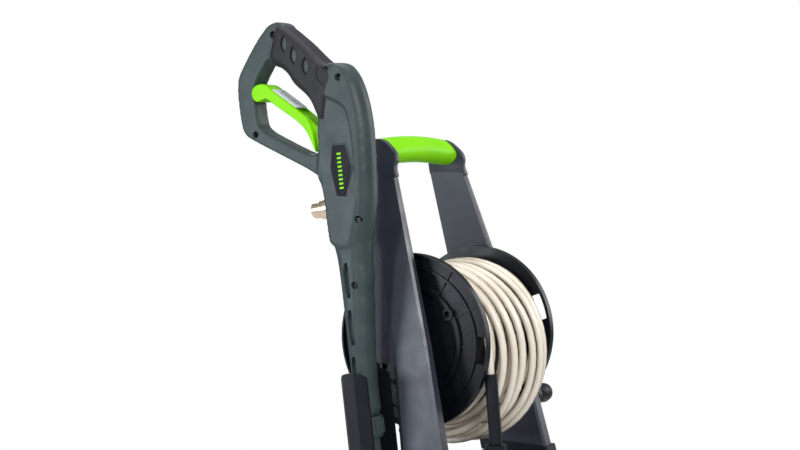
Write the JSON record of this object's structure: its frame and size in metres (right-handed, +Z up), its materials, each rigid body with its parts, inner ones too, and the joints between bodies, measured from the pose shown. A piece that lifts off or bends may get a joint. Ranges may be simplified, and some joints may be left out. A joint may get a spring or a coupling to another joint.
{
  "type": "pressure washer",
  "caption": "Upright electric pressure washer with a hose reel between its legs, a grip across their tops and a holstered trigger gun.",
  "frame": {"origin": "on the ground, under the centre of the box of the machine without its free hose end", "axes": "+Z up, -Y to the front where the hose leaves the reel, +X to the crank side, -X to the side with the gun"},
  "size_m": [0.38, 0.4101, 1.0891],
  "materials": {
    "cover_grey": "moulded satin plastic",
    "black_plastic": "moulded black plastic",
    "reel_black": "semi-gloss black plastic",
    "lime_plastic": "lime green plastic, satin gloss",
    "gun_green": "dark grey-green glass-filled nylon",
    "overmould": "soft black overmould",
    "silver_plastic": "pale grey plastic",
    "steel": "bright steel",
    "alloy": "die-cast aluminium",
    "brass": "machined brass",
    "copper": "varnished copper windings",
    "gear_nylon": "white nylon",
    "tank_plastic": "translucent polythene",
    "rubber": "black rubber",
    "tyre": "black moulded tyre",
    "hose": "beige PVC hose"
  },
  "bodies": {
    "root": {"chassis": "black_plastic", "front_feet": "rubber", "front_cover": "cover_grey", "rear_cover": "cover_grey", "top_deck": "black_plastic", "left_leg": "cover_grey", "right_leg": "cover_grey", "handle_bar": "black_plastic", "handle_grip": "lime_plastic", "holster": "black_plastic", "lance_cup": "black_plastic", "body_screws": "steel", "motor_can": "steel", "stator": "copper", "shaft_bearings": "steel", "gear_case": "alloy", "pump_head": "alloy", "pump_pistons": "steel", "pressure_switch": "black_plastic", "capacitor": "alloy", "switch_box": "black_plastic", "cord_gland": "black_plastic", "detergent_tank": "tank_plastic", "inlet_pipe": "brass", "feed_pipe": "steel", "feed_union": "brass", "axle": "steel", "hose_tail": "hose", "hose_sleeve": "black_plastic", "hose_fitting": "black_plastic"},
    "motor": {"armature": "steel"},
    "pump_drive": {"pump_gear": "gear_nylon", "wobble_plate": "steel"},
    "switch": {"switch_knob": "lime_plastic"},
    "cap": {"tank_cap": "black_plastic"},
    "water_collar": {"inlet_collar": "black_plastic"},
    "left_wheel": {"left_rim": "cover_grey", "left_tyre": "tyre", "left_hub_cap": "lime_plastic"},
    "right_wheel": {"right_rim": "cover_grey", "right_tyre": "tyre", "right_hub_cap": "lime_plastic"},
    "reel": {"left_flange": "reel_black", "right_flange": "reel_black", "reel_drum": "reel_black", "crank_shaft": "steel", "crank_arm": "black_plastic", "hose_coil": "hose"},
    "crank_handle": {"crank_knob": "black_plastic"},
    "gun": {"gun_left_shell": "gun_green", "gun_right_shell": "gun_green", "grip_overmould": "overmould", "gun_valve": "steel", "gun_inlet": "brass", "gun_screws": "steel"},
    "trigger_lever": {"trigger": "lime_plastic"},
    "lock_lever": {"trigger_lock": "silver_plastic"},
    "lance_tube": {"lance_collar": "gun_green", "lance": "gun_green"},
    "nozzle": {"spray_nozzle": "black_plastic"}
  },
  "joints": [
    {"name": "motor_spin", "type": "hinge", "parent": "root", "child": "motor", "pos_m": [0, -0.104, 0.25], "axis": [0, 0, 1], "continuous": true},
    {"name": "pump_spin", "type": "hinge", "parent": "root", "child": "pump_drive", "pos_m": [0, -0.059, 0.18], "axis": [0, 0, 1], "continuous": true},
    {"name": "switch_turn", "type": "hinge", "parent": "root", "child": "switch", "pos_m": [0.066, -0.1678, 0.368], "axis": [0, -0.9958, 0.0912], "range_deg": [0, 90]},
    {"name": "cap_turn", "type": "hinge", "parent": "root", "child": "cap", "pos_m": [-0.066, -0.16441, 0.405], "axis": [0, -0.9958, 0.0912], "range_deg": [0, 270]},
    {"name": "collar_turn", "type": "hinge", "parent": "root", "child": "water_collar", "pos_m": [0.07, 0.05952, 0.13], "axis": [0, 1, 0], "continuous": true},
    {"name": "left_wheel_spin", "type": "hinge", "parent": "root", "child": "left_wheel", "pos_m": [-0.1775, 0.076, 0.1], "axis": [1, 0, 0], "continuous": true},
    {"name": "right_wheel_spin", "type": "hinge", "parent": "root", "child": "right_wheel", "pos_m": [0.1775, 0.076, 0.1], "axis": [1, 0, 0], "continuous": true},
    {"name": "reel_spin", "type": "hinge", "parent": "root", "child": "reel", "pos_m": [0, -0.034, 0.66], "axis": [1, 0, 0], "continuous": true},
    {"name": "crank_handle_spin", "type": "hinge", "parent": "reel", "child": "crank_handle", "pos_m": [0.165, -0.08846, 0.55758], "axis": [1, 0, 0], "continuous": true},
    {"name": "gun_lift", "type": "slide", "parent": "root", "child": "gun", "axis": [0, 0.134, 0.991], "range_m": [0, 0.54]},
    {"name": "trigger_squeeze", "type": "hinge", "parent": "gun", "child": "trigger_lever", "pos_m": [-0.155, 0.03968, 0.93698], "axis": [1, 0, 0], "range_deg": [0, 10], "stiffness_Nm_per_rad": 1.5, "springref_deg": -14.32},
    {"name": "lock_flip", "type": "hinge", "parent": "trigger_lever", "child": "lock_lever", "pos_m": [-0.155, 0.10643, 0.97539], "axis": [1, 0, 0], "range_deg": [0, 10]},
    {"name": "lance_twist", "type": "hinge", "parent": "gun", "child": "lance_tube", "pos_m": [-0.155, -0.01303, 0.5546], "axis": [0, 0.134, 0.991], "range_deg": [0, 45]},
    {"name": "nozzle_twist", "type": "hinge", "parent": "lance_tube", "child": "nozzle", "pos_m": [-0.155, -0.07198, 0.11857], "axis": [0, 0.134, 0.991], "range_deg": [0, 90]}
  ],
  "couplings": [
    {"joint": "pump_spin", "follows": "motor_spin", "ratio": -0.25}
  ]
}
